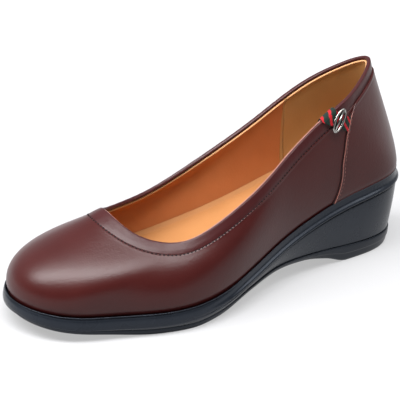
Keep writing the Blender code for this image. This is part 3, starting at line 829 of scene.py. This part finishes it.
# share of the height down, mm in from the top edge: a step, the mould's line, a draught
OUTSOLE_SIDE = [
    (0.00, 0.45), (0.015, 0.2), (0.05, 0.05), (0.10, 0.0), (0.30, 0.05), (0.44, 0.10), (0.475, 0.16),
    (0.50, 0.42), (0.53, 0.52), (0.60, 0.60), (0.75, 0.78), (0.88, 1.00), (0.95, 1.20), (0.985, 1.45),
]
side = SIDE - 0.0007 * WEDGE + 0.00005
slant = 0.45 + 0.55 * WEDGE
low = ring_at(side, underside)[:, 2]
head = lower - 0.00008
tall = head - low
rows = to_middle(ring_at(side + 0.0006, head), [1, 0.5, 0])
for share, inset in OUTSOLE_SIDE:
    rows.append(ring_at(side + inset * MM * slant + TAPER * 0.06 * share, head - tall * share))
rim = side + 1.75 * slant * MM
rows.append(ring_at(rim, underside))
rows.append(ring_at(rim + RIM_WIDE, underside))
for deep, more in ((0.35, 0.0001), (0.9, 0.0003), (1.0, 0.0006)):
    ring = ring_at(rim + RIM_WIDE + more, underside)
    ring[:, 2] += BED * deep
    rows.append(ring)
rows += to_middle(rows[-1], [0.15, 0.4, 0.7, 1])
outsole = lay("outsole_shell", closed(rows))
wear(outsole, TREAD_RUBBER)
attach(outsole, "root")
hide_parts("outsole")


# %% Tread bars: wavy bars across the forefoot and the heel
BED_INSET = 0.0080     # from the outline in to the ends of the bars
BAR_DEEP = 0.0012
BAR_WIDE = 0.0024
BAR_PITCH = 0.0190     # share of the shoe's length
BAR_CUTS = [0.5] + [(k + 0.01) / 12 for k in range(1, 12)]


def join(pieces, name):
    deselect()
    for piece in pieces:
        piece.select_set(True)
    bpy.context.view_layer.objects.active = pieces[0]
    if len(pieces) > 1:
        bpy.ops.object.join()
    joined = bpy.context.object
    joined.name = joined.data.name = name
    return joined


def half_width(at, sign):
    """Side of the tread's bed at a station, on the outer (1) or inner (-1) side."""
    u = RING[:HALF + 1] if sign > 0 else RING[HALF:]
    ring = foot_ring(u, BED_INSET)
    order = np.argsort(ring[:, 1])
    return np.interp(LENGTH / 2 - at * LENGTH, ring[order, 1], ring[order, 0])


def tread_bar(at):
    y = LENGTH / 2 - at * LENGTH
    left, right = half_width(at, -1), half_width(at, 1)
    deselect()
    bpy.ops.mesh.primitive_cube_add(size=1, location=((left + right) / 2, y, underside(at) + BAR_DEEP / 2))
    bar = bpy.context.object
    bar.scale = (right - left, BAR_WIDE, BAR_DEEP)
    bpy.ops.object.transform_apply(location=True, rotation=False, scale=True)
    # cut across, so that the bar can bend
    bpy.ops.object.mode_set(mode="EDIT")
    for cut in BAR_CUTS:
        bpy.ops.mesh.select_all(action="SELECT")
        bpy.ops.mesh.bisect(plane_co=(left + (right - left) * cut, y, 0), plane_no=(1, 0, 0))
    bpy.ops.object.mode_set(mode="OBJECT")
    for v in bar.data.vertices:
        wave = 0.0011 * math.cos(v.co.x / 0.0130 * math.tau)
        v.co.z += float(underside(station(v.co.y + wave)) - underside(at))
        v.co.y += wave
    apply(bar, "BEVEL", width=0.00025, segments=1, limit_method="ANGLE")
    return bar


heel_and_forefoot = np.append(np.arange(0.030, 0.186, BAR_PITCH), np.arange(0.600, 0.955, BAR_PITCH))
bars = [tread_bar(at) for at in heel_and_forefoot]
tread = join(bars, "tread_bars")
wear(tread, TREAD_RUBBER)
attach(tread, "root")
print(len(bars), "tread bars")

# %% [markdown]
# ## The sock
#
# A padded sock covers the inside of the sole, a little thicker under the heel and
# soft at its edge, where it meets the lining.

# %% Padded sock
INSIDE = UPPER_INSET + WALL + 0.00006


def sock_top(row, share):
    """Padded under the heel, a little lower towards the middle."""
    at = station(row[:, 1])
    pad = 0.0007 * (1 - fade(at, 0.18, 0.34)) * fade(share, 0, 0.5)
    return bead_top(at) + 0.0006 + pad - 0.0002 * fade(share, 0.1, 0.9)


tall = wall_length(RING)
# the underside lies in the sole's recess
rows = to_middle(ring_at(INSIDE, top - 0.0022), [1, 0.5, 0])
# the edge runs up the lining and thins out, so it ends without a line
for rise, off in ((0.2, 2.10), (0.8, 2.12), (1.4, 2.14), (1.8, 2.18),
                  (1.7, 2.30), (1.45, 2.50), (1.2, 2.80), (0.95, 3.30)):
    rows.append(skin(RING, rise * MM / tall, -off * MM))
rows += to_middle(ring_at(INSIDE + 0.0018, bead_top), [0, 0.06, 0.14, 0.25, 0.4, 0.6, 0.8, 1], sock_top)
sock = lay("padded_sock", closed(rows))
wear(sock, SOCK)
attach(sock, "root")
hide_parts("insole")

# %% [markdown]
# ## The ribbon
#
# A short grosgrain ribbon lies over the collar on the outer side and is caught
# under the counter's edge. Grosgrain has a thick weft, which gives ribs across the
# ribbon. It is dark green with fine slanted red lines.

# %% Grosgrain ribbon, laid over the band and the rim
# place round the shoe, mm under the rim, for the back and the front edge
RIBBON_RIM = np.array([(0.1085, 0.0), (0.1350, 0.0)])
RIBBON_END = np.array([(0.0772, 10.3), (0.0925, 15.9)])
RIBBON_THICK = 0.0005


def ribbon_face(away):
    """Rows of the face at a height over the leather, from the lower end over the rim to the end inside."""
    across = np.linspace(0, 1, 15)
    one = np.ones(15)
    rows = []
    for run in np.linspace(-0.05, 0.93, 34):
        back, front = RIBBON_END + (RIBBON_RIM - RIBBON_END) * run
        u = back[0] + (front[0] - back[0]) * across
        down = (back[1] + (front[1] - back[1]) * across) * MM
        # it steps up on to the band
        on_band = 1 - fade(down, band_width(u) - 0.0008, band_width(u) + 0.0012)
        rows.append((u, down, 0.00035 + 0.00085 * on_band + away))
    u = RIBBON_RIM[0, 0] + (RIBBON_RIM[1, 0] - RIBBON_RIM[0, 0]) * across
    for a in np.radians([12, 35, 60, 90, 120, 145, 168]):
        rows.append((u, one * -(0.00130 + away) * math.sin(a), one * (-0.001 + (0.0020 + away) * math.cos(a))))
    for down in (0.0008, 0.0018, 0.0028, 0.0040):
        rows.append((u, one * down, one * (-0.00305 - away)))
    return [skin(u, 1 - down / wall_length(u), lift) for u, down, lift in rows]


def web_material():
    made, tree, shader = new_material(
        "green_grosgrain", Roughness=0.75, IOR=1.35, Sheen_Weight=0.08, Sheen_Roughness=0.4)
    place = add_node(tree, "ShaderNodeUVMap", {"uv_map": "UVMap"}).outputs["UV"]
    parts = add_node(tree, "ShaderNodeSeparateXYZ", inputs={0: place})
    # slanted lines: eight over the whole net, so four on the outer face
    slant = calc(tree, "MULTIPLY_ADD", parts.outputs["X"], 0.22, parts.outputs["Y"])
    turn = calc(tree, "FRACT", calc(tree, "MULTIPLY", slant, 8.0))
    red = calc(tree, "GREATER_THAN", turn, 0.66)
    two_tone(tree, shader, red, linear("#07211a"), linear("#a3101c"))
    # weft ribs, drawn over 1 mm apart so that they show
    rib = calc(tree, "SINE", calc(tree, "MULTIPLY", parts.outputs["Y"], 62.0 * math.pi))
    relief(tree, shader, rib, 0.5, 0.0001)
    return made


face = ribbon_face(RIBBON_THICK)
back_face = ribbon_face(0.0)[::-1]
ribbon = lay("grosgrain_ribbon", np.stack(face + back_face + face[:1]))
wear(ribbon, web_material())
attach(ribbon, "root")
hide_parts("ribbon_tab")

# %% [markdown]
# ## The metal slide
#
# A plain oval slide with a bar across sits on the ribbon. The oval is a ring from
# the Add menu, stretched, and the bar is a short rod.

# %% Polished slide
SLIDE_RADII = (0.0066, 0.0027)
SLIDE_AT = (0.1065, 5.7)         # place round the shoe, mm under the rim
SLIDE_TOWARDS = (0.1205, 9.4)    # the oval's long way points there


def metal_material():
    made, tree, shader = new_material("polished_nickel", Metallic=1.0, Roughness=0.2)
    smear = mottle(tree, shader, 700.0, linear("#8d8c89"), linear("#b4b2ad"))[1]
    gloss(tree, shader, smear, 0.14, 0.30)
    return made


def spot(u, down, lift=0.0):
    """One point, mm under the rim and mm off the leather."""
    u = np.array([u])
    return Vector(skin(u, 1 - down * MM / wall_length(u), lift * MM)[0])


def bring(piece, centre, long_way, out):
    """Turn a piece made at the origin to its place, and keep the place in its mesh."""
    out = out.normalized()
    long_way = (long_way - out * long_way.dot(out)).normalized()
    short_way = out.cross(long_way)
    for v in piece.data.vertices:
        v.co = centre + long_way * v.co.x + short_way * v.co.y + out * v.co.z
    piece.location = (0, 0, 0)


def oval_slide():
    deselect()
    radius = 0.0040
    bpy.ops.mesh.primitive_torus_add(
        major_radius=radius, minor_radius=0.00062, major_segments=64, minor_segments=18)
    ring = bpy.context.object
    for v in ring.data.vertices:
        r = math.hypot(v.co.x, v.co.y)
        v.co.x *= (SLIDE_RADII[0] + r - radius) / r
        v.co.y *= (SLIDE_RADII[1] + r - radius) / r
        v.co.z *= 0.8
    bpy.ops.mesh.primitive_cylinder_add(vertices=20, radius=0.00055, depth=0.0128, rotation=(0, math.pi / 2, 0))
    rod = bpy.context.object
    bpy.ops.object.transform_apply(location=True, rotation=True, scale=True)
    return join([ring, rod], "oval_slide")


slide = oval_slide()
centre = spot(*SLIDE_AT, 2.6)
bring(slide, centre, spot(*SLIDE_TOWARDS) - spot(*SLIDE_AT), centre - spot(*SLIDE_AT))
bpy.ops.object.shade_smooth()
wear(slide, metal_material())
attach(slide, "root")
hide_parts("ribbon_slide")

# %% [markdown]
# ## Stitches
#
# One stitch is a small stretched ball of thread. Copies are laid nose to tail along
# a seam, each turned to the seam and sunk halfway into the leather.

# %% Thread, and rows of it
def thread(name, code):
    made, tree, shader = new_material(name, Roughness=0.6, IOR=1.3)
    lighter = tuple(c * 1.3 for c in linear(code)[:3]) + (1.0,)
    fuzz = mottle(tree, shader, 2500.0, linear(code), lighter)[1]
    relief(tree, shader, fuzz, 0.3, 0.0001)
    return made


def seam(name, points, outs, pitch, length_mm, thick_mm, made, slot):
    """Stitches every pitch mm along a line of points."""
    run = np.append(0, np.cumsum(np.linalg.norm(np.diff(points, axis=0), axis=1)))

    def at_run(s, values):
        return Vector([np.interp(s, run, values[:, k]) for k in range(3)])

    count = int(run[-1] / (pitch * MM))
    at = (np.arange(count) + 0.5) * run[-1] / count
    deselect()
    bpy.ops.mesh.primitive_uv_sphere_add(segments=8, ring_count=6, radius=0.5)
    model = bpy.context.object
    stitches = []
    for s in at:
        ahead = at_run(s + 0.3 * MM, points) - at_run(s - 0.3 * MM, points)
        one = model.copy()
        one.data = model.data.copy()
        bpy.context.collection.objects.link(one)
        for v in one.data.vertices:
            v.co.x *= length_mm * MM
            v.co.y *= thick_mm * MM
            v.co.z *= 0.4 * thick_mm * MM
        bring(one, at_run(s, points), ahead, at_run(s, outs))
        stitches.append(one)
    bpy.data.objects.remove(model)
    row = join(stitches, name)
    bpy.ops.object.shade_smooth()
    wear(row, made)
    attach(row, "root")
    print(name, count, "stitches")


DARK_THREAD = thread("dark_maroon_thread", "#100406")
SOFT_THREAD = thread("maroon_thread", "#76504b")

# %% Stitches under the band, from one counter edge round the throat to the other
u = np.linspace(0.083, 0.917, 900)
line = on_skin(u, 1 - (band_width(u) + 0.45 * MM) / wall_length(u), 0.04)
seam("band_stitches", *line, pitch=2.1, length_mm=1.20, thick_mm=0.95, made=DARK_THREAD, slot="leather")

# %% Stitches on the counter, 2 mm behind its edge
for sign, side_name in SIDES:
    line = along_counter(sign, 2.1, 0.95, np.linspace(0.03, 0.955, 160))
    seam("counter_stitches_" + side_name, *line, pitch=2.2, length_mm=1.5, thick_mm=0.42,
         made=SOFT_THREAD, slot="leather")

# %% [markdown]
# ## Floor, light and camera
#
# A long soft strip overhead gives the broad sheen on the toe, and a small card
# lights the top of the bead. The pale floor lights the lower sides of the shoe. It
# is dimmer to the right of the picture, because the heel quarter mirrors it there
# and stays dark. The camera stands where the photographer stood: front left of the
# shoe as it walks, 24 degrees above it, with a long lens.

# %% Floor: white paper that glows a little, and more so away from the shoe
# to the right in the picture, and towards the camera, along the floor
SIDEWAYS, TOWARD = Vector((0.566, 0.824, 0)), Vector((0.824, -0.566, 0))


def along_way(tree, place, way):
    """How far a place lies along a way."""
    dot = add_node(tree, "ShaderNodeVectorMath", {"operation": "DOT_PRODUCT"}, {0: place, 1: way})
    return dot.outputs["Value"]


def floor_paper():
    made, tree, shader = new_material("white_paper", Roughness=0.8)
    shader.inputs["Emission Color"].default_value = (1.0, 1.0, 1.0, 1.0)
    place = add_node(tree, "ShaderNodeTexCoord").outputs["Object"]
    away = add_node(tree, "ShaderNodeVectorMath", {"operation": "LENGTH"}, {0: place})
    glow = add_node(tree, "ShaderNodeMapRange", inputs={
        "Value": away.outputs["Value"], "From Min": 0.15, "From Max": 0.65, "To Min": 0.46, "To Max": 1.0})
    # on the right of the picture the paper is dimmer
    beside = add_node(tree, "ShaderNodeMapRange", {"interpolation_type": "SMOOTHSTEP"}, {
        "Value": along_way(tree, place, SIDEWAYS), "From Min": 0.098, "From Max": 0.20})
    front = add_node(tree, "ShaderNodeMapRange", {"interpolation_type": "SMOOTHSTEP"}, {
        "Value": along_way(tree, place, TOWARD), "From Min": -0.30, "From Max": -0.10})
    dark = calc(tree, "MULTIPLY", beside.outputs["Result"], front.outputs["Result"])
    edge = calc(tree, "SUBTRACT", 1.0, dark)
    two_tone(tree, shader, edge, linear("#727274"), linear("#868688"))
    lit = calc(tree, "MULTIPLY", glow.outputs["Result"], calc(tree, "MULTIPLY_ADD", edge, 0.35, 0.65))
    tree.links.new(lit, shader.inputs["Emission Strength"])
    return made


deselect()
bpy.ops.mesh.primitive_plane_add(size=12, location=(0, 0, 0))
floor = bpy.context.object
floor.name = "floor"
floor.data.materials.append(floor_paper())
floor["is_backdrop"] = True


# %% Lights: a strip overhead and a small card, in a room that is bright behind the shoe only
def soft_light(name, along_floor, height, long_way, size, power):
    """A lamp that faces the shoe, size by its long way first."""
    place = along_floor + Vector((0, 0, height))
    lamp = bpy.data.lights.new(name, "AREA")
    lamp.shape = "RECTANGLE"
    lamp.size, lamp.size_y = size
    lamp.energy = power
    thing = bpy.data.objects.new(name, lamp)
    bpy.context.collection.objects.link(thing)
    down = (Vector((0, 0, 0.05)) - place).normalized()
    side = long_way.normalized()
    thing.matrix_world = Matrix((side, down.cross(side), -down)).transposed().to_4x4()
    thing.location = place


soft_light("overhead_strip", TOWARD * 0.28 - SIDEWAYS * 0.40, 1.12,
           SIDEWAYS + TOWARD * 0.10, (1.85, 0.46), 45.0)
soft_light("side_card", SIDEWAYS * 1.05 + TOWARD * 0.12, 1.0, TOWARD, (0.5, 0.5), 4.0)

world = bpy.data.worlds.new("studio")
world.use_nodes = True
sky = world.node_tree
behind = along_way(sky, add_node(sky, "ShaderNodeTexCoord").outputs["Generated"], -TOWARD)
bright = add_node(sky, "ShaderNodeMapRange", inputs={
    "Value": behind, "From Min": -0.2, "From Max": 0.8, "To Min": 0.07, "To Max": 0.68})
sky.nodes["Background"].inputs["Color"].default_value = (0.94, 0.96, 1.0, 1.0)
sky.links.new(bright.outputs["Result"], sky.nodes["Background"].inputs["Strength"])
bpy.context.scene.world = world
bpy.context.scene.view_settings.view_transform = "Standard"

# %% Camera
AZIMUTH, ELEVATION, DISTANCE, ROLL = 55.5, 24.4, 0.80, 1.9
SENSOR, LENS = 36.0, 133.06      # mm
a, e = math.radians(AZIMUTH), math.radians(ELEVATION)
back = Vector((math.sin(a) * math.cos(e), -math.cos(a) * math.cos(e), math.sin(e)))
right = Vector((math.cos(a), math.sin(a), 0))
up = back.cross(right)
# the middle of the shoe, moved by what puts it in the same place in the picture
aim = right * -0.007 + up * -0.0045 + Vector((-0.002, -0.00175, 0.05))
camera = bpy.data.objects.new("camera", bpy.data.cameras.new("camera"))
bpy.context.collection.objects.link(camera)
camera.location = aim + back * DISTANCE
turn = (-back).to_track_quat("-Z", "Y").to_matrix().to_4x4()
camera.rotation_euler = (turn @ Matrix.Rotation(math.radians(ROLL), 4, "Z")).to_euler()
camera.data.sensor_width, camera.data.lens = SENSOR, LENS
bpy.context.scene.camera = camera

# %% Sizes, and the end
bpy.context.view_layer.update()
low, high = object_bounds()
print("visual box in mm:", [round((b - a) * 1000, 1) for a, b in zip(low, high)])
